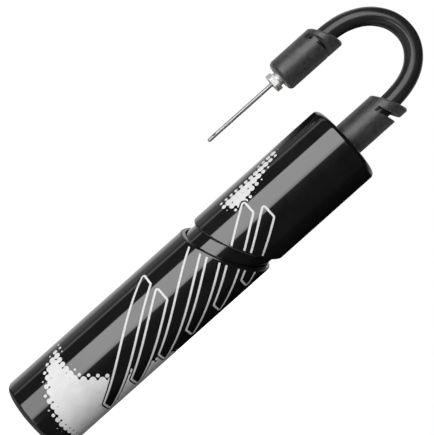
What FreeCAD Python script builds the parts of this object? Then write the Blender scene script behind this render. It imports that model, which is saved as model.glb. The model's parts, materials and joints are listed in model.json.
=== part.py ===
import FreeCAD, Part
import math
import os

# Telescoping hand pump for sports balls, with a short hose and an inflating needle.
# Millimetres. +Z runs up the pump's axis, and the origin is the middle of its flat base.
# The handle stands on the base, and the barrel with its head pulls up out of it.

Vector = FreeCAD.Vector

# Outer shells and the slanted groove between them
BODY_RADIUS = 18.0
BODY_LENGTH = 172.0
SHELL_WALL = 1.5
FOOT_WALL = 3.0
END_ROUNDING = 2.3
LIP_ROUNDING = 0.9
HANDLE_LIP_Z = 106.1
GROOVE_WIDTH = 5.9
GROOVE_SLOPE_X = 0.465
GROOVE_SLOPE_Y = 0.285
HEAD_PLATE = 2.5
HEAD_GRIP_LENGTH = 20.0

# Stroke and the barrel that slides in the handle
STROKE = 72.0
BARREL_RADIUS = 15.9
BARREL_BORE = 14.0
BARREL_LOW_Z = 14.0
BARREL_HIGH_Z = 166.0
RUNNING_GAP = 0.08
STATIC_GAP = 0.05

# Base of the handle
CAP_FLOOR = 2.6
CAP_FLANGE_TOP_Z = 4.4
CAP_SKIRT_TOP_Z = 9.0
CAP_SKIRT_WALL = 2.0
CAP_BOSS_RADIUS = 7.0
CAP_BOSS_TOP_Z = 10.0
SCREW_RADIUS = 2.0
SCREW_HEAD_RADIUS = 3.8
SCREW_HEAD_LOW_Z = 0.3
SCREW_RECESS_RADIUS = 4.2
SCREW_RECESS_DEPTH = 2.4
SCREW_TOP_Z = 14.0
CROSS_LENGTH = 4.2
CROSS_WIDTH = 0.9
CROSS_DEPTH = 1.2

# Rod, piston and stops
ROD_RADIUS = 4.0
ROD_FLAT = 3.2
ROD_LOW_Z = 4.2
ROD_TAPPED_DEPTH = 11.0
ROD_SHOULDER_Z = 148.0
STUD_RADIUS = 2.5
STUD_TOP_Z = 158.6
BUMPER_RADIUS = 9.0
BUMPER_THICKNESS = 3.0
STOP_TUBE_RADIUS = 6.0
PISTON_RADIUS = 13.6
PISTON_HEIGHT = 4.5
PISTON_RECESS_RADIUS = 11.5
PISTON_RECESS_DEPTH = 2.0
CUP_BASE = 1.5
CUP_HEIGHT = 5.0
CUP_LIP_WALL = 0.9
CUP_ROOT_WALL = 1.9
WASHER_RADIUS = 8.0
WASHER_THICKNESS = 1.0
NUT_FLATS = 8.0
NUT_HEIGHT = 3.0

# Gland, guide ring and wiper
GLAND_LOW_Z = 12.0
GLAND_HIGH_Z = 24.0
VENT_RADIUS = 1.2
VENT_CIRCLE = 9.5
VENT_COUNT = 6
GUIDE_LOW_Z = 15.5
GUIDE_HEIGHT = 5.0
GUIDE_GROOVE_DEPTH = 0.5
WIPER_LOW_Z = 93.0
WIPER_HEIGHT = 3.0

# Barrel head with its outlet valve
HEAD_PLUG_LOW_Z = 159.5
HEAD_TOP_Z = BODY_LENGTH - HEAD_PLATE
O_RING_Z = 162.6
O_RING_SECTION = 0.85
O_RING_GROOVE_WIDTH = 2.1
O_RING_GROOVE_DEPTH = 1.75
VALVE_SEAT_Z = 160.8
VALVE_SEAT_RADIUS = 1.2
VALVE_CHAMBER_RADIUS = 2.4
BALL_RADIUS = 1.7
BALL_GAP = 0.02
SPRING_LOW_Z = 163.45
SPRING_HIGH_Z = 165.1
SPRING_RADIUS = 1.2
SPRING_WIRE_RADIUS = 0.15
SPRING_TURNS = 3

# Hose nipple, with the same barb as the needle socket
NIPPLE_LOW_Z = 165.3
NIPPLE_THREAD_RADIUS = 3.95
NIPPLE_BORE_RADIUS = 0.9
NIPPLE_HEX_FLATS = 9.0
NIPPLE_HEX_HEIGHT = 2.5
BARB_CORE_RADIUS = 1.5
BARB_RIDGE_RADIUS = 1.95
BARB_RIDGES = 4
BARB_LENGTH = 11.0

# Hose
HOSE_RADIUS = 4.0
HOSE_BORE_RADIUS = 2.0
FERRULE_RADIUS = 4.6
FERRULE_LENGTH = 8.5
FERRULE_GAP = 0.5
FERRULE_CRIMP_RADIUS = 0.25
FERRULE_CRIMPS = 3

# Rubber collar on the head and rubber boot on the connector, both with a slanted mouth. Each
# slanted plane is its height on the sleeve's axis, then its slopes along X and along Y.
COLLAR_RADIUS = 7.4
COLLAR_MOUTH = (196.5, 0.53, 0.0)
COLLAR_SLOT_FLOOR = (189.5, 0.42, 0.0)
COLLAR_SLOT_ROOF = (192.2, 0.45, 0.0)
COLLAR_SLOT_START = -107.0
COLLAR_SLOT_SWEEP = 165.0
COLLAR_CAVITY_RADIUS = 5.3
COLLAR_CAVITY_TOP_Z = 187.0
SLEEVE_BORE_RADIUS = 4.5
SLEEVE_EDGE_ROUNDING = 0.9
CONNECTOR_X = -38.1
BOOT_RADIUS = 7.15
BOOT_LOW_Z = 169.3
BOOT_MOUTH = (194.95, 0.49, -0.08)
BOOT_BOTTOM_ROUNDING = 1.9
BOOT_SLOT_FLOOR = (187.6, 0.27, -0.27)
BOOT_SLOT_ROOF = (189.45, 0.225, -0.4)
BOOT_SLOT_START = -141.0
BOOT_SLOT_SWEEP = 241.0
BOOT_TAB_LEFT = -2.9
BOOT_TAB_WIDTH = 2.5
BOOT_TAB_TOP_Z = 190.8
BOOT_CAVITY_RADIUS = 4.95
BOOT_CAVITY_TOP_Z = 188.0

# Needle and the socket that it screws into
SOCKET_LOW_Z = 169.5
SOCKET_RADIUS = 4.9
SOCKET_HEIGHT = 8.0
SOCKET_THREAD_RADIUS = 4.0
SOCKET_THREAD_DEPTH = 6.0
THREAD_LOW_Z = 170.5
THREAD_TOP_Z = 175.0
THREAD_RADIUS = 3.9
NECK_RADIUS = 3.0
HUB_LOW_Z = 165.1
HUB_HEIGHT = 2.5
HUB_FLATS = 7.5
HUB_CORNER_RADIUS = 4.1
GASKET_LOW_Z = 169.5
GASKET_HEIGHT = 0.95
NEEDLE_RADIUS = 0.85
NEEDLE_ROOT_RADIUS = 1.05
NEEDLE_ROOT_LOW_Z = 164.6
NEEDLE_BORE_RADIUS = 0.45
NEEDLE_TIP_Z = 129.8
NEEDLE_BORE_LOW_Z = 132.1
NEEDLE_PORT_Z = 133.4
NEEDLE_PORT_LENGTH = 2.0
NEEDLE_PORT_ANGLE = -130.0

# The hose's centre line in the plane y = 0: up out of the collar, over, and down into the boot
HOSE_ROUTE = [
    (0.0, 175.0),
    (0.0, 186.1),
    (-0.3, 202.9),
    (-4.3, 213.8),
    (-12.9, 220.5),
    (-23.5, 220.6),
    (-32.2, 214.8),
    (-37.1, 206.0),
    (-38.6, 196.9),
    (-38.1, 187.5),
    (-38.1, 178.6),
]
ARC_SHARE = 0.45

# Larger than the whole pump, for cutting blocks that must reach past it
REACH = 400.0


def disc(radius, low, high, x=0.0):
    """Upright cylinder between two heights."""
    return Part.makeCylinder(radius, high - low, Vector(x, 0, low))


def ring(outer, inner, low, high, x=0.0):
    """Upright tube between two heights."""
    return disc(outer, low, high, x).cut(disc(inner, low, high, x))


def hexagon(flats, low, high, x=0.0):
    """Upright hexagonal prism, measured across its flats."""
    corner = flats / 2 / math.cos(math.pi / 6)
    corners = [Vector(x + corner * math.cos(math.radians(60 * i)),
                      corner * math.sin(math.radians(60 * i)), low) for i in range(7)]
    return Part.Face(Part.makePolygon(corners)).extrude(Vector(0, 0, high - low))


def d_bar(radius, flat, low, high):
    """Upright bar of D section, whose flat faces +X."""
    beyond_flat = Part.makeBox(radius, 2 * radius, high - low, Vector(flat, -radius, low))
    return disc(radius, low, high).cut(beyond_flat)


def cone(low_radius, high_radius, low, high, x=0.0):
    """Upright cone between two heights."""
    return Part.makeCone(low_radius, high_radius, high - low, Vector(x, 0, low))


def above_slant(height, slope_x, slope_y=0.0, x=0.0):
    """Everything above a slanted plane that meets the upright line through x at this height."""
    normal = Vector(-slope_x, -slope_y, 1)
    return Part.makeCylinder(REACH, REACH, Vector(x, 0, height), normal)


def sector(radius, low, high, start, sweep, x=0.0):
    """Slice of an upright cylinder, from a start angle about its axis."""
    slice_ = Part.makeCylinder(radius, high - low, Vector(x, 0, low), Vector(0, 0, 1), sweep)
    slice_.rotate(Vector(x, 0, 0), Vector(0, 0, 1), start)
    return slice_


def round_edges(shape, radius, wanted):
    """Round every edge whose middle point passes the test."""
    middles = [(edge, edge.valueAt((edge.FirstParameter + edge.LastParameter) / 2))
               for edge in shape.Edges]
    return shape.makeFillet(radius, [edge for edge, middle in middles if wanted(middle)])


def from_axis(point, x=0.0):
    """Distance of a point from the upright axis through x."""
    return math.hypot(point.x - x, point.y)


def groove_height(base, point):
    """Height of the slanted plane of the groove over a point."""
    return base + GROOVE_SLOPE_X * point.x + GROOVE_SLOPE_Y * point.y


def handle_shell():
    """Lower shell: a tube with a rounded, thicker foot and a slanted mouth."""
    shell = ring(BODY_RADIUS, BODY_RADIUS - SHELL_WALL, CAP_FLOOR, BODY_LENGTH)
    shell = shell.fuse(ring(BODY_RADIUS, BODY_RADIUS - FOOT_WALL, 0, CAP_FLOOR)).removeSplitter()
    shell = shell.cut(above_slant(HANDLE_LIP_Z, GROOVE_SLOPE_X, GROOVE_SLOPE_Y))
    foot = lambda p: p.z < STATIC_GAP and from_axis(p) > BODY_RADIUS - STATIC_GAP
    lip = lambda p: (abs(p.z - groove_height(HANDLE_LIP_Z, p)) < STATIC_GAP
                     and from_axis(p) > BODY_RADIUS - STATIC_GAP)
    shell = round_edges(shell, END_ROUNDING, foot)
    return round_edges(shell, LIP_ROUNDING, lip)


def handle_end_cap():
    """Plug that sits on the foot's inner rim and closes it, with the boss that holds the rod."""
    outer = BODY_RADIUS - SHELL_WALL - STATIC_GAP
    cap = disc(BODY_RADIUS - FOOT_WALL - STATIC_GAP, 0, CAP_FLOOR)
    cap = cap.fuse(disc(outer, CAP_FLOOR, CAP_FLANGE_TOP_Z))
    cap = cap.fuse(ring(outer, outer - CAP_SKIRT_WALL, CAP_FLOOR, CAP_SKIRT_TOP_Z))
    cap = cap.fuse(disc(CAP_BOSS_RADIUS, CAP_FLOOR, CAP_BOSS_TOP_Z))
    cap = cap.cut(disc(SCREW_RECESS_RADIUS, 0, SCREW_RECESS_DEPTH))
    cap = cap.cut(disc(SCREW_RADIUS + STATIC_GAP, 0, CAP_BOSS_TOP_Z))
    cap = cap.cut(disc(ROD_RADIUS + STATIC_GAP, ROD_LOW_Z, CAP_BOSS_TOP_Z))
    return cap.removeSplitter()


def rod_screw():
    """Pan-head screw up through the cap into the rod."""
    head = disc(SCREW_HEAD_RADIUS, SCREW_HEAD_LOW_Z, SCREW_RECESS_DEPTH)
    screw = head.fuse(disc(SCREW_RADIUS, SCREW_RECESS_DEPTH, SCREW_TOP_Z))
    half, narrow = CROSS_LENGTH / 2, CROSS_WIDTH / 2
    for across, along in ((half, narrow), (narrow, half)):
        corner = Vector(-across, -along, SCREW_HEAD_LOW_Z)
        screw = screw.cut(Part.makeBox(2 * across, 2 * along, CROSS_DEPTH, corner))
    return screw.removeSplitter()


def base_bumper():
    """Rubber ring that the gland lands on when the pump is closed."""
    return ring(BUMPER_RADIUS, ROD_RADIUS + STATIC_GAP, CAP_BOSS_TOP_Z, GLAND_LOW_Z - RUNNING_GAP)


def piston_rod():
    """D-section rod with a tapped foot and a stud for the piston."""
    rod = d_bar(ROD_RADIUS, ROD_FLAT, ROD_LOW_Z, ROD_SHOULDER_Z)
    rod = rod.fuse(disc(STUD_RADIUS, ROD_SHOULDER_Z, STUD_TOP_Z))
    tapped = disc(SCREW_RADIUS + STATIC_GAP, ROD_LOW_Z, ROD_LOW_Z + ROD_TAPPED_DEPTH)
    return rod.cut(tapped)


def stop_height():
    """Underside of the bump washer, just above the gland at full stroke."""
    return GLAND_HIGH_Z + STROKE + RUNNING_GAP


def bump_washer():
    """Rubber washer that ends the stroke."""
    low = stop_height()
    return ring(BUMPER_RADIUS, ROD_RADIUS + STATIC_GAP, low, low + BUMPER_THICKNESS)


def stop_tube():
    """Spacer on the rod between the bump washer and the piston."""
    low = stop_height() + BUMPER_THICKNESS
    return ring(STOP_TUBE_RADIUS, ROD_RADIUS + STATIC_GAP, low, ROD_SHOULDER_Z)


def piston():
    """Disc that backs the cup, hollowed from below."""
    top = ROD_SHOULDER_Z + PISTON_HEIGHT
    body = ring(PISTON_RADIUS, STUD_RADIUS + STATIC_GAP, ROD_SHOULDER_Z, top)
    hollow = ring(PISTON_RECESS_RADIUS, CAP_BOSS_RADIUS, ROD_SHOULDER_Z,
                  ROD_SHOULDER_Z + PISTON_RECESS_DEPTH)
    return body.cut(hollow)


def cup_seal():
    """Rubber cup whose lip presses out against the barrel on the push stroke."""
    low = ROD_SHOULDER_Z + PISTON_HEIGHT
    outer = BARREL_BORE - RUNNING_GAP
    cup = ring(outer, STUD_RADIUS + STATIC_GAP, low, low + CUP_HEIGHT)
    hollow = cone(outer - CUP_ROOT_WALL, outer - CUP_LIP_WALL, low + CUP_BASE, low + CUP_HEIGHT)
    return cup.cut(hollow)


def clamp_height():
    """Top of the cup's base, where the washer sits."""
    return ROD_SHOULDER_Z + PISTON_HEIGHT + CUP_BASE


def piston_washer():
    """Washer that spreads the nut's load on the cup."""
    low = clamp_height()
    return ring(WASHER_RADIUS, STUD_RADIUS + STATIC_GAP, low, low + WASHER_THICKNESS)


def piston_nut():
    """Nut on the rod's stud."""
    low = clamp_height() + WASHER_THICKNESS
    nut = hexagon(NUT_FLATS, low, low + NUT_HEIGHT)
    return nut.cut(disc(STUD_RADIUS + STATIC_GAP, low, low + NUT_HEIGHT))


def wiper_ring():
    """Ring inside the handle's mouth that guides and wipes the barrel."""
    return ring(BODY_RADIUS - SHELL_WALL, BARREL_RADIUS + RUNNING_GAP, WIPER_LOW_Z,
                WIPER_LOW_Z + WIPER_HEIGHT)


def barrel_tube():
    """Inner tube, seen in the groove, with a seat for the guide ring near its foot."""
    tube = ring(BARREL_RADIUS, BARREL_BORE, BARREL_LOW_Z, BARREL_HIGH_Z)
    seat = ring(BARREL_RADIUS, BARREL_RADIUS - GUIDE_GROOVE_DEPTH, GUIDE_LOW_Z,
                GUIDE_LOW_Z + GUIDE_HEIGHT)
    return tube.cut(seat)


def barrel_gland():
    """Foot of the barrel: a vented plug with a D hole that keeps the halves from twisting."""
    gland = disc(BARREL_RADIUS, GLAND_LOW_Z, BARREL_LOW_Z)
    gland = gland.fuse(disc(BARREL_BORE - STATIC_GAP, BARREL_LOW_Z, GLAND_HIGH_Z))
    gland = gland.cut(d_bar(ROD_RADIUS + RUNNING_GAP, ROD_FLAT + RUNNING_GAP, GLAND_LOW_Z,
                            GLAND_HIGH_Z))
    for i in range(VENT_COUNT):
        turn = 2 * math.pi * i / VENT_COUNT
        place = Vector(VENT_CIRCLE * math.cos(turn), VENT_CIRCLE * math.sin(turn), GLAND_LOW_Z)
        vent = Part.makeCylinder(VENT_RADIUS, GLAND_HIGH_Z - GLAND_LOW_Z, place)
        gland = gland.cut(vent)
    return gland.removeSplitter()


def guide_ring():
    """Ring on the barrel's foot that runs in the handle."""
    return ring(BODY_RADIUS - SHELL_WALL - RUNNING_GAP, BARREL_RADIUS - GUIDE_GROOVE_DEPTH,
                GUIDE_LOW_Z, GUIDE_LOW_Z + GUIDE_HEIGHT)


def barrel_head():
    """Plug in the top of the barrel, with the valve's chamber and the nipple's thread."""
    outer = BARREL_BORE - STATIC_GAP
    head = disc(outer, HEAD_PLUG_LOW_Z, BARREL_HIGH_Z)
    head = head.fuse(disc(BARREL_RADIUS, BARREL_HIGH_Z, HEAD_TOP_Z))
    half_groove = O_RING_GROOVE_WIDTH / 2
    head = head.cut(ring(outer, outer - O_RING_GROOVE_DEPTH, O_RING_Z - half_groove,
                         O_RING_Z + half_groove))
    head = head.cut(disc(VALVE_SEAT_RADIUS, HEAD_PLUG_LOW_Z, VALVE_SEAT_Z))
    head = head.cut(disc(VALVE_CHAMBER_RADIUS, VALVE_SEAT_Z, NIPPLE_LOW_Z))
    head = head.cut(disc(NIPPLE_THREAD_RADIUS + STATIC_GAP, NIPPLE_LOW_Z, HEAD_TOP_Z))
    return head.removeSplitter()


def head_o_ring():
    """Seal between the barrel head and the barrel."""
    return Part.makeTorus(BARREL_BORE - O_RING_SECTION, O_RING_SECTION, Vector(0, 0, O_RING_Z))


def valve_ball():
    """Ball of the outlet valve, resting on the rim of its seat."""
    rise = math.sqrt(BALL_RADIUS ** 2 - VALVE_SEAT_RADIUS ** 2)
    return Part.makeSphere(BALL_RADIUS, Vector(0, 0, VALVE_SEAT_Z + rise + BALL_GAP))


def valve_spring():
    """Coil spring that closes the valve."""
    height = SPRING_HIGH_Z - SPRING_LOW_Z
    path = Part.makeHelix(height / SPRING_TURNS, height, SPRING_RADIUS)
    wire = Part.makeCircle(SPRING_WIRE_RADIUS, Vector(SPRING_RADIUS, 0, 0), Vector(0, 1, 0))
    spring = Part.Wire(path).makePipeShell([Part.Wire(wire)], True, True)
    spring.translate(Vector(0, 0, SPRING_LOW_Z))
    return spring


def head_shell():
    """Upper shell: slanted mouth below, rounded closed end above, gripping the barrel inside."""
    grip_low = HEAD_TOP_Z - HEAD_GRIP_LENGTH
    shell = disc(BODY_RADIUS, 0, BODY_LENGTH)
    shell = shell.cut(disc(BODY_RADIUS - SHELL_WALL, 0, grip_low))
    shell = shell.cut(disc(BARREL_RADIUS + STATIC_GAP, grip_low, HEAD_TOP_Z))
    shell = shell.cut(disc(NIPPLE_THREAD_RADIUS + STATIC_GAP, HEAD_TOP_Z, BODY_LENGTH))
    mouth = HANDLE_LIP_Z + GROOVE_WIDTH
    shell = shell.common(above_slant(mouth, GROOVE_SLOPE_X, GROOVE_SLOPE_Y))
    top = lambda p: (p.z > BODY_LENGTH - STATIC_GAP
                     and from_axis(p) > BODY_RADIUS - STATIC_GAP)
    lip = lambda p: (abs(p.z - groove_height(mouth, p)) < STATIC_GAP
                     and from_axis(p) > BODY_RADIUS - STATIC_GAP)
    shell = round_edges(shell, END_ROUNDING, top)
    return round_edges(shell, LIP_ROUNDING, lip)


def barb(low, x=0.0):
    """Ridged spigot that grips the bore of the hose."""
    step = BARB_LENGTH / BARB_RIDGES
    spigot = disc(BARB_CORE_RADIUS, low, low + BARB_LENGTH, x)
    for i in range(BARB_RIDGES):
        ridge = cone(BARB_RIDGE_RADIUS, BARB_CORE_RADIUS, low + i * step, low + (i + 1) * step, x)
        spigot = spigot.fuse(ridge)
    return spigot


def hose_nipple():
    """Fitting that clamps the head shell to the barrel head and carries the hose."""
    hex_top = BODY_LENGTH + NIPPLE_HEX_HEIGHT
    nipple = disc(NIPPLE_THREAD_RADIUS, NIPPLE_LOW_Z, BODY_LENGTH)
    nipple = nipple.fuse(hexagon(NIPPLE_HEX_FLATS, BODY_LENGTH, hex_top))
    nipple = nipple.fuse(barb(hex_top))
    return nipple.cut(disc(NIPPLE_BORE_RADIUS, NIPPLE_LOW_Z, hex_top + BARB_LENGTH))


def ferrule(low, x=0.0):
    """Crimped sleeve round an end of the hose."""
    high = low + FERRULE_LENGTH
    sleeve = ring(FERRULE_RADIUS, HOSE_RADIUS + STATIC_GAP, low, high, x)
    for i in range(FERRULE_CRIMPS):
        height = low + FERRULE_LENGTH * (i + 1) / (FERRULE_CRIMPS + 1)
        sleeve = sleeve.cut(Part.makeTorus(FERRULE_RADIUS, FERRULE_CRIMP_RADIUS,
                                           Vector(x, 0, height)))
    return sleeve


def hose_ferrule():
    """Crimp at the pump's end of the hose."""
    return ferrule(HOSE_ROUTE[0][1] + FERRULE_GAP)


def connector_ferrule():
    """Crimp at the connector's end of the hose."""
    return ferrule(HOSE_ROUTE[-1][1] + FERRULE_GAP, CONNECTOR_X)


def slanted_sleeve(radius, low, mouth, x=0.0):
    """Rubber cylinder whose upper end is cut at a slant, with its mouth edge rounded."""
    height, slope_x, slope_y = mouth
    sleeve = disc(radius, low, height + radius, x).cut(above_slant(*mouth, x))
    at_mouth = lambda p: (abs(p.z - height - slope_x * (p.x - x) - slope_y * p.y)
                          < STATIC_GAP)
    return round_edges(sleeve, SLEEVE_EDGE_ROUNDING, at_mouth)


def slot_cutter(radius, floor, roof, start, sweep, x=0.0):
    """Cutter for a slot part of the way round a sleeve, between two slanted planes."""
    block = sector(2 * radius, floor[0] - radius, roof[0] + radius, start, sweep, x)
    return block.common(above_slant(*floor, x)).cut(above_slant(*roof, x))


def hose_collar():
    """Rubber strain relief on the head, with a slot that lets its mouth flex."""
    collar = slanted_sleeve(COLLAR_RADIUS, BODY_LENGTH, COLLAR_MOUTH)
    collar = collar.cut(disc(COLLAR_CAVITY_RADIUS, BODY_LENGTH, COLLAR_CAVITY_TOP_Z))
    collar = collar.cut(disc(SLEEVE_BORE_RADIUS, COLLAR_CAVITY_TOP_Z, REACH))
    return collar.cut(slot_cutter(COLLAR_RADIUS, COLLAR_SLOT_FLOOR, COLLAR_SLOT_ROOF,
                                  COLLAR_SLOT_START, COLLAR_SLOT_SWEEP))


def connector_boot():
    """Rubber grip over the needle's connector, slotted below its slanted mouth."""
    boot = slanted_sleeve(BOOT_RADIUS, BOOT_LOW_Z, BOOT_MOUTH, CONNECTOR_X)
    foot = lambda p: p.z < BOOT_LOW_Z + STATIC_GAP
    boot = round_edges(boot, BOOT_BOTTOM_ROUNDING, foot)
    boot = boot.cut(disc(BOOT_CAVITY_RADIUS, BOOT_LOW_Z, BOOT_CAVITY_TOP_Z, CONNECTOR_X))
    boot = boot.cut(disc(SLEEVE_BORE_RADIUS, BOOT_CAVITY_TOP_Z, REACH, CONNECTOR_X))
    slot = slot_cutter(BOOT_RADIUS, BOOT_SLOT_FLOOR, BOOT_SLOT_ROOF, BOOT_SLOT_START,
                       BOOT_SLOT_SWEEP, CONNECTOR_X)
    tab_corner = Vector(CONNECTOR_X + BOOT_TAB_LEFT, -2 * BOOT_RADIUS, BOOT_SLOT_FLOOR[0])
    tab = Part.makeBox(BOOT_TAB_WIDTH, 2 * BOOT_RADIUS, BOOT_TAB_TOP_Z - BOOT_SLOT_FLOOR[0],
                       tab_corner)
    return boot.cut(slot.cut(tab))


def needle_socket():
    """Brass insert in the boot: a thread for the needle below and a barb for the hose above."""
    top = SOCKET_LOW_Z + SOCKET_HEIGHT
    socket = disc(SOCKET_RADIUS, SOCKET_LOW_Z, top, CONNECTOR_X).fuse(barb(top, CONNECTOR_X))
    thread_top = SOCKET_LOW_Z + SOCKET_THREAD_DEPTH
    socket = socket.cut(disc(SOCKET_THREAD_RADIUS, SOCKET_LOW_Z, thread_top, CONNECTOR_X))
    return socket.cut(disc(NIPPLE_BORE_RADIUS, SOCKET_LOW_Z, top + BARB_LENGTH, CONNECTOR_X))


def needle_gasket():
    """Rubber ring round the neck of the needle, inside the socket's mouth."""
    return ring(THREAD_RADIUS, NECK_RADIUS + RUNNING_GAP, GASKET_LOW_Z,
                GASKET_LOW_Z + GASKET_HEIGHT, CONNECTOR_X)


def needle_hub():
    """Hexagonal flange, neck and threaded stub of the needle."""
    hub_top = HUB_LOW_Z + HUB_HEIGHT
    hub = hexagon(HUB_FLATS, HUB_LOW_Z, hub_top, CONNECTOR_X)
    hub = hub.common(disc(HUB_CORNER_RADIUS, HUB_LOW_Z, hub_top, CONNECTOR_X))
    hub = hub.fuse(disc(NECK_RADIUS, hub_top, THREAD_LOW_Z, CONNECTOR_X))
    hub = hub.fuse(disc(THREAD_RADIUS, THREAD_LOW_Z, THREAD_TOP_Z, CONNECTOR_X))
    root = disc(NEEDLE_ROOT_RADIUS, HUB_LOW_Z, THREAD_TOP_Z, CONNECTOR_X)
    return hub.cut(root).removeSplitter()


def needle_port():
    """Rounded slot-shaped cutter for the side hole near the needle's tip."""
    half = NEEDLE_PORT_LENGTH / 2 - NEEDLE_BORE_RADIUS
    reach = 2 * NEEDLE_RADIUS
    port = Part.makeBox(reach, 2 * NEEDLE_BORE_RADIUS, 2 * half,
                        Vector(0, -NEEDLE_BORE_RADIUS, -half))
    for end in (-half, half):
        port = port.fuse(Part.makeCylinder(NEEDLE_BORE_RADIUS, reach, Vector(0, 0, end),
                                           Vector(1, 0, 0)))
    port.rotate(Vector(0, 0, 0), Vector(0, 0, 1), NEEDLE_PORT_ANGLE)
    port.translate(Vector(CONNECTOR_X, 0, NEEDLE_PORT_Z))
    return port


def needle_tube():
    """Thin steel tube with a closed round tip, a side hole and a thickened root in the hub."""
    shoulder = NEEDLE_TIP_Z + NEEDLE_RADIUS
    tube = disc(NEEDLE_RADIUS, shoulder, NEEDLE_ROOT_LOW_Z, CONNECTOR_X)
    tube = tube.fuse(disc(NEEDLE_ROOT_RADIUS, NEEDLE_ROOT_LOW_Z, THREAD_TOP_Z, CONNECTOR_X))
    tube = tube.fuse(Part.makeSphere(NEEDLE_RADIUS, Vector(CONNECTOR_X, 0, shoulder)))
    tube = tube.cut(disc(NEEDLE_BORE_RADIUS, NEEDLE_BORE_LOW_Z, THREAD_TOP_Z, CONNECTOR_X))
    return tube.cut(needle_port()).removeSplitter()


def rounded_path(points):
    """Straight runs joined by tangent arcs, and the radius of each arc."""
    edges = []
    radii = []
    start = points[0]
    for before, corner, after in zip(points, points[1:], points[2:]):
        arriving = (corner - before).normalize()
        leaving = (after - corner).normalize()
        half_turn = arriving.getAngle(leaving) / 2
        tangent = ARC_SHARE * min(before.distanceToPoint(corner), corner.distanceToPoint(after))
        radius = tangent / math.tan(half_turn)
        inward = (leaving - arriving).normalize()
        arc_start = corner - arriving * tangent
        arc_middle = corner + inward * (radius / math.cos(half_turn) - radius)
        arc_end = corner + leaving * tangent
        edges.append(Part.LineSegment(start, arc_start).toShape())
        edges.append(Part.Arc(arc_start, arc_middle, arc_end).toShape())
        radii.append(radius)
        start = arc_end
    edges.append(Part.LineSegment(start, points[-1]).toShape())
    return Part.Wire(edges), radii


def swept_disc(path, radius, start, direction):
    """Solid round bar along a path."""
    section = Part.Wire(Part.makeCircle(radius, start, direction))
    return path.makePipeShell([section], True, False)


def hose():
    """Rubber hose: an arch of constant section, with both ends over barbs."""
    points = [Vector(x, 0, z) for x, z in HOSE_ROUTE]
    path, radii = rounded_path(points)
    up = Vector(0, 0, 1)
    tube = swept_disc(path, HOSE_RADIUS, points[0], up)
    tube = tube.cut(swept_disc(path, HOSE_BORE_RADIUS, points[0], up))
    section = math.pi * (HOSE_RADIUS ** 2 - HOSE_BORE_RADIUS ** 2)
    print("hose arc radii, mm:", [round(radius, 1) for radius in radii])
    print("hose length, mm:", round(path.Length, 1))
    print("hose volume / (section x length):", round(tube.Volume / (section * path.Length), 4))
    return tube


PIECES = [
    handle_shell, handle_end_cap, rod_screw, base_bumper, piston_rod, bump_washer, stop_tube,
    piston, cup_seal, piston_washer, piston_nut, wiper_ring, barrel_tube, barrel_gland,
    guide_ring, barrel_head, head_o_ring, valve_ball, valve_spring, head_shell, hose_nipple,
    hose_ferrule, hose_collar, hose, connector_ferrule, connector_boot, needle_socket,
    needle_gasket, needle_hub, needle_tube,
]

os.makedirs("parts", exist_ok=True)
for piece in PIECES:
    solid = piece()
    print(piece.__name__, solid.isValid(), len(solid.Solids), round(solid.Volume, 1))
    solid.exportStep("parts/" + piece.__name__ + ".step")
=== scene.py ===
import json
import math

import bpy
import numpy as np
from mathutils import Matrix, Vector


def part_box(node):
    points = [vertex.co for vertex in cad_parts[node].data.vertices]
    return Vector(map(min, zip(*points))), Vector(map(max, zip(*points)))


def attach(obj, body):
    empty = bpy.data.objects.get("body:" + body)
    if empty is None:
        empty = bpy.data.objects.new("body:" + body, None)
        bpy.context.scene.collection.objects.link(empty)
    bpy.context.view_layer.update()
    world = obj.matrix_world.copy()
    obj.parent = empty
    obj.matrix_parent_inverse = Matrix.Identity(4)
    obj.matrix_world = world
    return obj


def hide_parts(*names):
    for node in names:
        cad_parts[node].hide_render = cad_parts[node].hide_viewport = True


# Telescoping ball pump, standing upright on its handle. Metres throughout.

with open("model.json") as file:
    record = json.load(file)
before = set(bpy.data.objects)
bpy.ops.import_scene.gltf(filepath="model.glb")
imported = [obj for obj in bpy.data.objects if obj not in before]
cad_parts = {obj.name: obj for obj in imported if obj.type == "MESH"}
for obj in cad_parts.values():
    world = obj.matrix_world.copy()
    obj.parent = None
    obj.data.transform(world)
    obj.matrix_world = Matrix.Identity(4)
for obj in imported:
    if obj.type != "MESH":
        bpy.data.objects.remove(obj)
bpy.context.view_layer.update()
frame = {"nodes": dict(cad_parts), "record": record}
NODES = frame["nodes"]

# ---- sizes taken from the frame --------------------------------------------------------------
handle_low, handle_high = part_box("handle_shell")
body_radius = (handle_high[0] - handle_low[0]) / 2
body_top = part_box("head_shell")[1][2]

MM = 0.001

# ---- camera ----------------------------------------------------------------------------------
CAMERA_ELEVATION = math.radians(0.7)
CAMERA_ROLL = math.radians(48.25)
CAMERA_DISTANCE = 0.53
CAMERA_FIELD = 180.2 * MM
CAMERA_AIM = Vector((-12.1, 0, 111.5)) * MM
SENSOR_WIDTH = 36.0
CLIP_START = 0.01
CLIP_END = 100.0


def make_camera():
    """Close, level camera, rolled so that the pump lies across the frame."""
    ahead = Vector((0, math.cos(CAMERA_ELEVATION), -math.sin(CAMERA_ELEVATION)))
    level_right = Vector((1, 0, 0))
    level_up = level_right.cross(ahead)
    right = math.cos(CAMERA_ROLL) * level_right + math.sin(CAMERA_ROLL) * level_up
    up = math.cos(CAMERA_ROLL) * level_up - math.sin(CAMERA_ROLL) * level_right
    lens = bpy.data.cameras.new("camera")
    lens.sensor_width = SENSOR_WIDTH
    lens.lens = SENSOR_WIDTH * CAMERA_DISTANCE / CAMERA_FIELD
    lens.clip_start = CLIP_START
    lens.clip_end = CLIP_END
    camera = bpy.data.objects.new("camera", lens)
    turn = Matrix((right, up, -ahead)).transposed().to_4x4()
    camera.matrix_world = Matrix.Translation(CAMERA_AIM - ahead * CAMERA_DISTANCE) @ turn
    bpy.context.collection.objects.link(camera)
    bpy.context.scene.camera = camera


make_camera()

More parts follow.
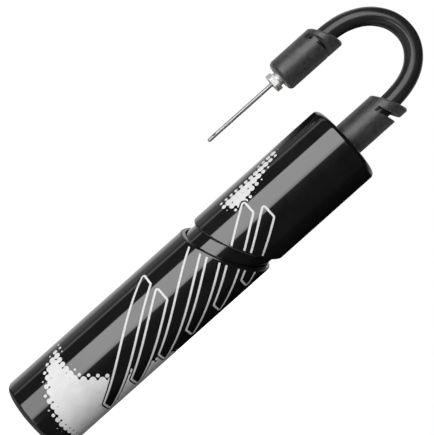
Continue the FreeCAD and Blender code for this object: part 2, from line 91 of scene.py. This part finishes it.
# ---- hose ------------------------------------------------------------------------------------
HOSE_DIAMETER = 8.0 * MM
# centre line in the plane y = 0, the same points as the CAD tube's route
HOSE_ROUTE = [
    (0.0000, 0.1750),
    (0.0000, 0.1861),
    (-0.0003, 0.2029),
    (-0.0043, 0.2138),
    (-0.0129, 0.2205),
    (-0.0235, 0.2206),
    (-0.0322, 0.2148),
    (-0.0371, 0.2060),
    (-0.0386, 0.1969),
    (-0.0381, 0.1875),
    (-0.0381, 0.1786),
]


def make_hose():
    """Arch of rubber hose from the collar to the connector boot."""
    line = bpy.data.curves.new("hose_arch", "CURVE")
    line.dimensions = "3D"
    spline = line.splines.new("NURBS")
    spline.points.add(len(HOSE_ROUTE) - 1)
    for point, (x, z) in zip(spline.points, HOSE_ROUTE):
        point.co = (x, 0, z, 1)
        point.radius = HOSE_DIAMETER / 2
    spline.order_u = 3
    spline.use_endpoint_u = True
    spline.resolution_u = 24
    line.bevel_depth = 1.0
    line.bevel_resolution = 10
    line.use_fill_caps = True
    piece = bpy.data.objects.new("hose_arch", line)
    bpy.context.collection.objects.link(piece)
    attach(piece, "barrel")
    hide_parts("hose")
    return piece


hose = make_hose()

# ---- materials -------------------------------------------------------------------------------


def new_material(name, colour, roughness, metallic=0.0):
    """Material with one principled shader, whose even values are set on its own sockets."""
    made = bpy.data.materials.new(name)
    made.use_nodes = True
    shader = made.node_tree.nodes["Principled BSDF"]
    shader.inputs["Base Color"].default_value = (*colour, 1)
    shader.inputs["Roughness"].default_value = roughness
    shader.inputs["Metallic"].default_value = metallic
    return made, shader


def noise(made, scale, detail=4.0, stretch=(1, 1, 1)):
    """Noise in the object's own coordinates, with a scale in features per metre."""
    nodes, links = made.node_tree.nodes, made.node_tree.links
    place = nodes.new("ShaderNodeTexCoord")
    mapping = nodes.new("ShaderNodeMapping")
    mapping.inputs["Scale"].default_value = stretch
    texture = nodes.new("ShaderNodeTexNoise")
    texture.inputs["Scale"].default_value = scale
    texture.inputs["Detail"].default_value = detail
    links.new(place.outputs["Object"], mapping.inputs["Vector"])
    links.new(mapping.outputs["Vector"], texture.inputs["Vector"])
    return texture.outputs["Fac"]


def spread(made, value, low, high, start=0.3, end=0.7):
    """A noise value stretched to run from low to high."""
    ramp = made.node_tree.nodes.new("ShaderNodeMapRange")
    ramp.inputs["From Min"].default_value = start
    ramp.inputs["From Max"].default_value = end
    ramp.inputs["To Min"].default_value = low
    ramp.inputs["To Max"].default_value = high
    made.node_tree.links.new(value, ramp.inputs["Value"])
    return ramp.outputs["Result"]


def vary_colour(made, shader, value, dark, light):
    """Base colour that runs between two tones."""
    mix = made.node_tree.nodes.new("ShaderNodeMix")
    mix.data_type = "RGBA"
    mix.inputs["A"].default_value = (*dark, 1)
    mix.inputs["B"].default_value = (*light, 1)
    made.node_tree.links.new(value, mix.inputs["Factor"])
    made.node_tree.links.new(mix.outputs["Result"], shader.inputs["Base Color"])


def vary_roughness(made, shader, value):
    """Roughness that follows a value."""
    made.node_tree.links.new(value, shader.inputs["Roughness"])


def add_bump(made, shader, heights, depth):
    """Surface relief from one or more height values, with its full depth in metres."""
    links = made.node_tree.links
    below = None
    for height, share in heights:
        bump = made.node_tree.nodes.new("ShaderNodeBump")
        bump.inputs["Strength"].default_value = share
        bump.inputs["Distance"].default_value = depth
        links.new(height, bump.inputs["Height"])
        if below is not None:
            links.new(below, bump.inputs["Normal"])
        below = bump.outputs["Normal"]
    links.new(below, shader.inputs["Normal"])


def grey(tone):
    """Neutral colour."""
    return (tone, tone, tone)


def gloss_black(name, tone, scuff_stretch):
    """Polished black plastic with faint orange peel and hairline scuffs."""
    made, shader = new_material(name, grey(tone), 0.05)
    cloud = noise(made, 90, 3)
    vary_colour(made, shader, spread(made, cloud, 0, 1), grey(tone * 0.75), grey(tone * 1.3))
    scuffs = spread(made, noise(made, 700, 2, scuff_stretch), 0, 1, 0.62, 0.75)
    add = made.node_tree.nodes.new("ShaderNodeMath")
    add.operation = "MULTIPLY_ADD"
    add.inputs[1].default_value = 0.09
    made.node_tree.links.new(scuffs, add.inputs[0])
    made.node_tree.links.new(spread(made, cloud, 0.03, 0.06), add.inputs[2])
    vary_roughness(made, shader, add.outputs["Value"])
    add_bump(made, shader, [(noise(made, 450, 2), 0.12)], 0.004 * MM)
    shader.inputs["IOR"].default_value = 1.8
    return made


def white_ink():
    """Screen-printed white ink with a slightly uneven film."""
    made, shader = new_material("white_ink", grey(0.72), 0.55)
    cloud = noise(made, 260, 5)
    vary_colour(made, shader, spread(made, cloud, 0, 1), grey(0.68), grey(0.75))
    vary_roughness(made, shader, spread(made, cloud, 0.5, 0.62))
    shader.inputs["Specular IOR Level"].default_value = 0.2
    add_bump(made, shader, [(noise(made, 1800, 3), 0.3)], 0.01 * MM)
    return made


def moulded_rubber():
    """Matte dark rubber with the fine grain of an eroded mould."""
    made, shader = new_material("moulded_rubber", grey(0.03), 0.6)
    cloud = noise(made, 120, 4)
    grain = noise(made, 2600, 3)
    mottle = noise(made, 700, 5)
    vary_colour(made, shader, spread(made, mottle, 0, 1, 0.35, 0.65), (0.011, 0.0113, 0.012),
                (0.037, 0.0375, 0.039))
    vary_roughness(made, shader, spread(made, cloud, 0.36, 0.48))
    add_bump(made, shader, [(mottle, 0.35), (grain, 0.5)], 0.06 * MM)
    shader.inputs["IOR"].default_value = 1.65
    shader.inputs["Sheen Weight"].default_value = 0.3
    shader.inputs["Sheen Roughness"].default_value = 0.5
    return made


def hose_rubber():
    """Smooth extruded rubber with a satin skin."""
    made, shader = new_material("hose_rubber", grey(0.012), 0.22)
    cloud = noise(made, 160, 4)
    grain = noise(made, 3200, 2)
    vary_colour(made, shader, spread(made, cloud, 0, 1), grey(0.014), grey(0.021))
    vary_roughness(made, shader, spread(made, grain, 0.13, 0.24))
    add_bump(made, shader, [(cloud, 0.12), (grain, 0.22)], 0.03 * MM)
    return made


def soft_rubber():
    """Greased seal rubber."""
    made, shader = new_material("soft_rubber", grey(0.02), 0.3)
    cloud = noise(made, 500, 4)
    vary_colour(made, shader, spread(made, cloud, 0, 1), grey(0.014), grey(0.03))
    vary_roughness(made, shader, spread(made, cloud, 0.18, 0.45))
    add_bump(made, shader, [(cloud, 0.3)], 0.03 * MM)
    return made


def inner_plastic():
    """Moulded nylon with a fine spark-eroded texture."""
    made, shader = new_material("inner_plastic", grey(0.05), 0.5)
    grain = noise(made, 2200, 3)
    cloud = noise(made, 150, 3)
    vary_colour(made, shader, spread(made, cloud, 0, 1), grey(0.035), grey(0.06))
    vary_roughness(made, shader, spread(made, grain, 0.4, 0.6))
    add_bump(made, shader, [(grain, 0.4)], 0.04 * MM)
    return made


def metal(name, dark, light, smooth, rough, stretch, depth, metallic=1.0):
    """Metal with drawing or turning lines along the stretched direction."""
    made, shader = new_material(name, light, smooth, metallic)
    lines = noise(made, 1500, 3, stretch)
    cloud = noise(made, 200, 4)
    vary_colour(made, shader, spread(made, cloud, 0, 1), dark, light)
    vary_roughness(made, shader, spread(made, lines, smooth, rough))
    add_bump(made, shader, [(lines, 0.3)], depth)
    return made


ALONG_Z = (1, 1, 0.05)
ACROSS_Z = (0.15, 0.15, 3)
MATERIALS = {
    "shell_gloss_black": gloss_black("shell_gloss_black", 0.006, (1, 1, 0.04)),
    "barrel_gloss_black": gloss_black("barrel_gloss_black", 0.005, (1, 1, 0.02)),
    "inner_plastic": inner_plastic(),
    "moulded_rubber": moulded_rubber(),
    "hose_rubber": hose_rubber(),
    "soft_rubber": soft_rubber(),
    "needle_nickel": metal("needle_nickel", (0.34, 0.338, 0.334), (0.39, 0.388, 0.384), 0.3, 0.36,
                           ALONG_Z, 0.001 * MM, 0.75),
    "zinc_steel": metal("zinc_steel", (0.50, 0.51, 0.53), (0.66, 0.67, 0.69), 0.25, 0.4,
                        ACROSS_Z, 0.01 * MM),
    "rod_aluminium": metal("rod_aluminium", (0.70, 0.71, 0.72), (0.82, 0.83, 0.84), 0.22, 0.36,
                           ALONG_Z, 0.01 * MM),
    "ferrule_aluminium": metal("ferrule_aluminium", (0.62, 0.63, 0.64), (0.76, 0.77, 0.78), 0.25,
                               0.4, ACROSS_Z, 0.01 * MM),
    "fitting_brass": metal("fitting_brass", (0.68, 0.48, 0.20), (0.82, 0.62, 0.30), 0.2, 0.34,
                           ACROSS_Z, 0.01 * MM),
}
HUB_NICKEL = metal("turned_nickel", (0.60, 0.595, 0.59), (0.72, 0.715, 0.71), 0.45, 0.55,
                   ACROSS_Z, 0.002 * MM, 0.6)


def dress(piece, made):
    """Give a piece one material."""
    piece.data.materials.clear()
    piece.data.materials.append(made)


for subpart in frame["record"]["subparts"]:
    dress(NODES[subpart["node"]], MATERIALS[subpart["material_slot"]])
dress(hose, MATERIALS["hose_rubber"])
dress(NODES["needle_hub"], HUB_NICKEL)

# ---- printed pattern -------------------------------------------------------------------------
# The print is worked out on the unrolled shell in millimetres: s runs round the body from the
# front towards +X, and z runs up. A point is inked where the field is above zero.
RADIUS_MM = body_radius / MM
CELL = 0.2
INK_PROUD = 0.03
INK_SUNK = 0.02
GROOVE_LOW_Z = 106.1
GROOVE_HIGH_Z = 112.0
GROOVE_SLOPE_X = 0.465
GROOVE_SLOPE_Y = 0.285
LIP_MARGIN = 1.5
PRINT_LOW_Z = 3.5
PRINT_HIGH_Z = 168.5
HANDLE_SPAN_Z = (3.0, 118.0)
HEAD_SPAN_Z = (100.0, 169.5)

BAR_LEAN = 0.7
BAR_ROUNDING = 0.8
LINE_WIDTH = 0.9
INK_GAP = 1.1
# A bar's column is where its middle line would meet z = 0.
BAR_HALF_WIDTH = 3.2
FIRST_COLUMN = 37.9
COLUMN_STEP = 10.4
FIRST_FOOT = 27.0
FOOT_STEP = 15.0
BAR_HEADS = [74.0, 75.0, 100.0, 101.0, 124.0, 129.0]
DOT_PITCH = 2.67
DOT_START_S = 0.8
DOT_START_Z = 9.8
DOT_SPREAD = 0.8
DOT_GROWTH = 0.6
DOT_LOSS = 0.2
FADE_START = -2.0
FADE_LENGTH = 5.2
FAR_AWAY = 1e3
# each splash: its corners, anticlockwise
SPLASHES = [
    [(-19.5, 28.0), (-14.0, 19.5), (-3.0, 12.5), (9.0, 8.8), (31.0, 9.5), (31.0, 40.0),
     (27.0, 64.0), (20.0, 60.0), (8.0, 38.0), (-1.0, 28.0), (-11.0, 26.0)],
    [(-17.0, 115.5), (-8.4, 121.5), (-11.8, 130.0), (-19.2, 147.0), (-21.8, 147.0),
     (-17.6, 131.0)],
    [(-50.0, 26.0), (-37.0, 20.0), (-33.0, 46.0), (-39.0, 82.0), (-47.0, 70.0)],
    [(31.0, 130.0), (45.0, 122.0), (52.0, 142.0), (45.0, 163.0), (37.0, 154.0)],
]


def depth_inside(s, z, corners):
    """Distance inside a polygon's edge, below zero outside it."""
    nearest = np.full(s.shape, FAR_AWAY)
    inside = np.zeros(s.shape, bool)
    for (s0, z0), (s1, z1) in zip(corners, corners[1:] + corners[:1]):
        ds, dz = s1 - s0, z1 - z0
        share = np.clip(((s - s0) * ds + (z - z0) * dz) / (ds * ds + dz * dz), 0, 1)
        nearest = np.minimum(nearest, np.hypot(s - s0 - share * ds, z - z0 - share * dz))
        if dz:
            inside ^= ((z0 > z) != (z1 > z)) & (s < s0 + (z - z0) * ds / dz)
    return np.where(inside, nearest, -nearest)


def bar_distance(s, z):
    """Distance from the nearest bar's edge, below zero inside a bar."""
    nearest = np.full(s.shape, FAR_AWAY)
    reach = BAR_HALF_WIDTH - BAR_ROUNDING
    for step, head in enumerate(BAR_HEADS):
        column = FIRST_COLUMN + step * COLUMN_STEP
        low = FIRST_FOOT + step * FOOT_STEP + BAR_ROUNDING
        high = head - BAR_ROUNDING
        corners = [(column - BAR_LEAN * low - reach, low), (column - BAR_LEAN * low + reach, low),
                   (column - BAR_LEAN * high + reach, high),
                   (column - BAR_LEAN * high - reach, high)]
        nearest = np.minimum(nearest, -depth_inside(s, z, corners) - BAR_ROUNDING)
    return nearest


def halftone(s, z):
    """Field of dots on a square grid that grow into solid ink towards the middle of a splash."""
    best = np.full(s.shape, -1.0)
    row = np.round((z - DOT_START_Z) / DOT_PITCH)
    column = np.round((s - DOT_START_S) / DOT_PITCH)
    for up in (-1, 0, 1):
        for side in (-1, 0, 1):
            ds = DOT_START_S + (column + side) * DOT_PITCH
            dz = DOT_START_Z + (row + up) * DOT_PITCH
            inside = np.max([depth_inside(ds, dz, corners) for corners in SPLASHES], axis=0)
            full = np.clip((inside - FADE_START) / FADE_LENGTH, 0, 1)
            radius = DOT_PITCH * DOT_SPREAD * full ** DOT_GROWTH - DOT_LOSS
            best = np.maximum(best, radius - np.hypot(s - ds, z - dz))
    return best


def lip_height(base, s):
    """Height of a shell's slanted lip round the body."""
    turn = s / RADIUS_MM
    x, y = RADIUS_MM * np.sin(turn), -RADIUS_MM * np.cos(turn)
    return base + GROOVE_SLOPE_X * x + GROOVE_SLOPE_Y * y


def ink_field(s, z, on_head):
    """Ink on one shell: outlines of the bars, and halftone splashes that stop short of them."""
    away = bar_distance(s, z)
    outline = LINE_WIDTH / 2 - np.abs(away)
    field = np.maximum(outline, np.minimum(halftone(s, z), away - INK_GAP))
    if on_head:
        inside = np.minimum(z - lip_height(GROOVE_HIGH_Z, s) - LIP_MARGIN, PRINT_HIGH_Z - z)
    else:
        inside = np.minimum(lip_height(GROOVE_LOW_Z, s) - LIP_MARGIN - z, z - PRINT_LOW_Z)
    return np.minimum(field, inside)


def inked_faces(field):
    """Corners, as grid places, and faces of the area where a field on a grid is above zero."""
    points, faces, index = [], [], {}

    def corner(key, place):
        if key not in index:
            index[key] = len(points)
            points.append(place)
        return index[key]

    wet = field > 0
    any_wet = wet[:-1, :-1] | wet[1:, :-1] | wet[1:, 1:] | wet[:-1, 1:]
    for i, j in zip(*np.nonzero(any_wet)):
        ring = [(i, j), (i + 1, j), (i + 1, j + 1), (i, j + 1)]
        face = []
        for here, after in zip(ring, ring[1:] + ring[:1]):
            a, b = field[here], field[after]
            if a > 0:
                face.append(corner((here, here), here))
            if (a > 0) != (b > 0):
                first, last = min(here, after), max(here, after)
                share = field[first] / (field[first] - field[last])
                place = tuple(p + (q - p) * share for p, q in zip(first, last))
                face.append(corner((first, last), place))
        if len(face) > 2:
            faces.append(face)
    return np.array(points, float), faces


def make_print(name, body, span_z, on_head):
    """Thin film of ink wrapped round one shell, worked out between two heights."""
    reach = math.pi * RADIUS_MM - CELL
    s_line = np.arange(-reach, reach, CELL)
    z_line = np.arange(*span_z, CELL)
    s, z = np.meshgrid(s_line, z_line, indexing="ij")
    points, faces = inked_faces(ink_field(s, z, on_head))
    turn = (s_line[0] + points[:, 0] * CELL) / RADIUS_MM
    film = (RADIUS_MM + INK_PROUD) * MM
    height = (z_line[0] + points[:, 1] * CELL) * MM
    corners = np.stack([film * np.sin(turn), -film * np.cos(turn), height], axis=1)
    mesh = bpy.data.meshes.new(name)
    mesh.from_pydata(corners.tolist(), [], faces)
    mesh.polygons.foreach_set("use_smooth", [True] * len(mesh.polygons))
    piece = bpy.data.objects.new(name, mesh)
    bpy.context.collection.objects.link(piece)
    thick = piece.modifiers.new("film", "SOLIDIFY")
    thick.thickness = (INK_PROUD + INK_SUNK) * MM
    thick.offset = -1
    dress(piece, INK)
    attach(piece, body)


INK = white_ink()
make_print("handle_print", "handle", HANDLE_SPAN_Z, on_head=False)
make_print("head_print", "barrel", HEAD_SPAN_Z, on_head=True)

# ---- floor, light and surroundings -----------------------------------------------------------
FLOOR_SIZE = 30.0
FLOOR_DROP = 0.1 * MM
FLOOR_GLOW = 0.93
FLOOR_TONE = 0.8


def make_floor():
    """Pale floor, lit to near white for the camera and clear to all other rays."""
    mesh = bpy.data.meshes.new("floor")
    half = FLOOR_SIZE / 2
    ring = [(-half, -half, 0), (half, -half, 0), (half, half, 0), (-half, half, 0)]
    mesh.from_pydata(ring, [], [(0, 1, 2, 3)])
    floor = bpy.data.objects.new("floor", mesh)
    floor.location = (0, 0, -FLOOR_DROP)
    bpy.context.collection.objects.link(floor)
    made = bpy.data.materials.new("pale_floor")
    made.use_nodes = True
    nodes, links = made.node_tree.nodes, made.node_tree.links
    nodes.clear()
    out = nodes.new("ShaderNodeOutputMaterial")
    paint = nodes.new("ShaderNodeBsdfDiffuse")
    paint.inputs["Color"].default_value = (*grey(FLOOR_TONE), 1)
    glow = nodes.new("ShaderNodeEmission")
    glow.inputs["Strength"].default_value = FLOOR_GLOW
    both = nodes.new("ShaderNodeAddShader")
    clear = nodes.new("ShaderNodeBsdfTransparent")
    path = nodes.new("ShaderNodeLightPath")
    choose = nodes.new("ShaderNodeMixShader")
    links.new(paint.outputs["BSDF"], both.inputs[0])
    links.new(glow.outputs["Emission"], both.inputs[1])
    links.new(path.outputs["Is Camera Ray"], choose.inputs["Fac"])
    links.new(clear.outputs["BSDF"], choose.inputs[1])
    links.new(both.outputs["Shader"], choose.inputs[2])
    links.new(choose.outputs["Shader"], out.inputs["Surface"])
    dress(floor, made)


# Brightness of the surroundings, listed as degrees and brightness. A source has one list by heading
# round the pump, from the front towards +X, and one by height above the level. They are a soft box
# at the front left with a strip beside it, a bright wall low on the left, a lamp below the camera, a
# bright backdrop, a dim patch above the camera and, by height alone, a dim glow from the floor.
SOFT_BOX = [(-180, 0.0), (-124, 0.0), (-119, 0.3), (-108, 0.36), (-104, 0.2), (-99.5, 0.25),
            (-98, 0.7), (-92.5, 0.7), (-91, 0.06), (-55.3, 0.06), (-54.7, 3.3), (-14, 3.3),
            (-5, 2.4), (-3.8, 0.14), (10, 0.06), (24, 0.03), (75, 0.04), (85, 0.015), (180, 0.0)]
SOFT_BOX_HEIGHT = [(-90, 0.0), (-20, 0.0), (-15, 0.72), (-11.5, 0.8), (-9, 1.0), (30, 1.0),
                   (36, 0.0)]
WALL = [(-180, 1.1), (-150, 1.1), (-134, 0.95), (-122, 0.25), (-112, 0.0)]
WALL_HEIGHT = [(-90, 0.0), (-25, 0.0), (-20, 1.0), (2.5, 1.0), (4.5, 0.0)]
LAMP = [(-180, 0.0), (-45, 0.0), (-40, 3.0), (-14, 3.0), (-7, 5.5), (10, 5.5), (17, 0.0)]
LAMP_HEIGHT = [(-90, 0.0), (-23, 0.0), (-21, 1.0), (-15, 1.0), (-13.5, 0.0)]
BACKDROP = [(-180, 1.0), (-125, 1.0), (-105, 0.0), (100, 0.0), (125, 0.4), (160, 0.5), (180, 1.0)]
BACKDROP_HEIGHT = [(-90, 0.0), (9, 0.0), (18, 1.0), (40, 1.0), (48, 0.0)]
HIGH_PATCH = [(-180, 0.0), (-14, 0.0), (-9, 1.7), (3, 1.3), (12, 0.0), (180, 0.0)]
HIGH_PATCH_HEIGHT = [(-90, 0.0), (6.5, 0.0), (8.5, 1.0), (13, 1.0), (18, 0.0), (90, 0.0)]
FROM_BELOW = [(-90, 0.4), (-36, 0.4), (-25, 0.0), (90, 0.0)]
SOURCES = [
    (SOFT_BOX, SOFT_BOX_HEIGHT),
    (WALL, WALL_HEIGHT),
    (LAMP, LAMP_HEIGHT),
    (BACKDROP, BACKDROP_HEIGHT),
    (HIGH_PATCH, HIGH_PATCH_HEIGHT),
]


def make_world():
    """Studio surroundings: white for the camera, and the listed sources for all other rays."""
    world = bpy.data.worlds.new("studio")
    world.use_nodes = True
    bpy.context.scene.world = world
    nodes, links = world.node_tree.nodes, world.node_tree.links
    nodes.clear()

    def calculate(operation, first, second=None):
        node = nodes.new("ShaderNodeMath")
        node.operation = operation
        for socket, value in zip(node.inputs, (first, second)):
            if isinstance(value, (int, float)):
                socket.default_value = value
            elif value is not None:
                links.new(value, socket)
        return node.outputs["Value"]

    def profile(angle, reach, levels):
        """Brightness by angle, from levels listed as degrees and brightness."""
        share = calculate("DIVIDE", calculate("ADD", angle, reach), 2 * reach)
        top = max(level for _, level in levels)
        ramp = nodes.new("ShaderNodeValToRGB")
        stops = ramp.color_ramp.elements
        while len(stops) < len(levels):
            stops.new(0.5)
        for stop, (degrees, level) in zip(stops, levels):
            stop.position = (math.radians(degrees) + reach) / (2 * reach)
            stop.color = (*grey(level / top), 1)
        links.new(share, ramp.inputs["Fac"])
        return calculate("MULTIPLY", ramp.outputs["Color"], top)

    place = nodes.new("ShaderNodeTexCoord")
    split = nodes.new("ShaderNodeSeparateXYZ")
    links.new(place.outputs["Generated"], split.inputs["Vector"])
    ahead = calculate("MULTIPLY", split.outputs["Y"], -1)
    heading = calculate("ARCTAN2", split.outputs["X"], ahead)
    height = calculate("ARCSINE", split.outputs["Z"])
    total = profile(height, math.pi / 2, FROM_BELOW)
    for by_heading, by_height in SOURCES:
        source = calculate("MULTIPLY", profile(heading, math.pi, by_heading),
                           profile(height, math.pi / 2, by_height))
        total = calculate("ADD", total, source)
    lights = nodes.new("ShaderNodeBackground")
    links.new(total, lights.inputs["Strength"])
    lights.inputs["Color"].default_value = (1, 1, 1, 1)
    white = nodes.new("ShaderNodeBackground")
    white.inputs["Color"].default_value = (1, 1, 1, 1)
    path = nodes.new("ShaderNodeLightPath")
    choose = nodes.new("ShaderNodeMixShader")
    out = nodes.new("ShaderNodeOutputWorld")
    links.new(path.outputs["Is Camera Ray"], choose.inputs["Fac"])
    links.new(lights.outputs["Background"], choose.inputs[1])
    links.new(white.outputs["Background"], choose.inputs[2])
    links.new(choose.outputs["Shader"], out.inputs["Surface"])


def add_light(name, place, aim, size, power):
    """Large soft lamp that polished surfaces and the camera don't see."""
    lamp = bpy.data.lights.new(name, "AREA")
    lamp.shape = "RECTANGLE"
    lamp.size, lamp.size_y = size
    lamp.energy = power
    light = bpy.data.objects.new(name, lamp)
    light.location = place
    light.rotation_euler = (Vector(aim) - Vector(place)).to_track_quat("-Z", "Y").to_euler()
    light.visible_glossy = False
    light.visible_camera = False
    bpy.context.collection.objects.link(light)


TOP_LAMP_PLACE = (-0.4, 0.2, 1.2)
TOP_LAMP_SIZE = (0.7, 0.7)
TOP_LAMP_POWER = 2.0
KEY_LAMP_PLACE = (-0.38, -1.15, 0.25)
KEY_LAMP_SIZE = (0.6, 0.6)
KEY_LAMP_POWER = 3.4

make_floor()
make_world()
middle = (0, 0, body_top / 2)
add_light("top", TOP_LAMP_PLACE, middle, TOP_LAMP_SIZE, TOP_LAMP_POWER)
add_light("key", KEY_LAMP_PLACE, middle, KEY_LAMP_SIZE, KEY_LAMP_POWER)
bpy.context.scene.view_settings.view_transform = "Standard"

bpy.context.view_layer.update()
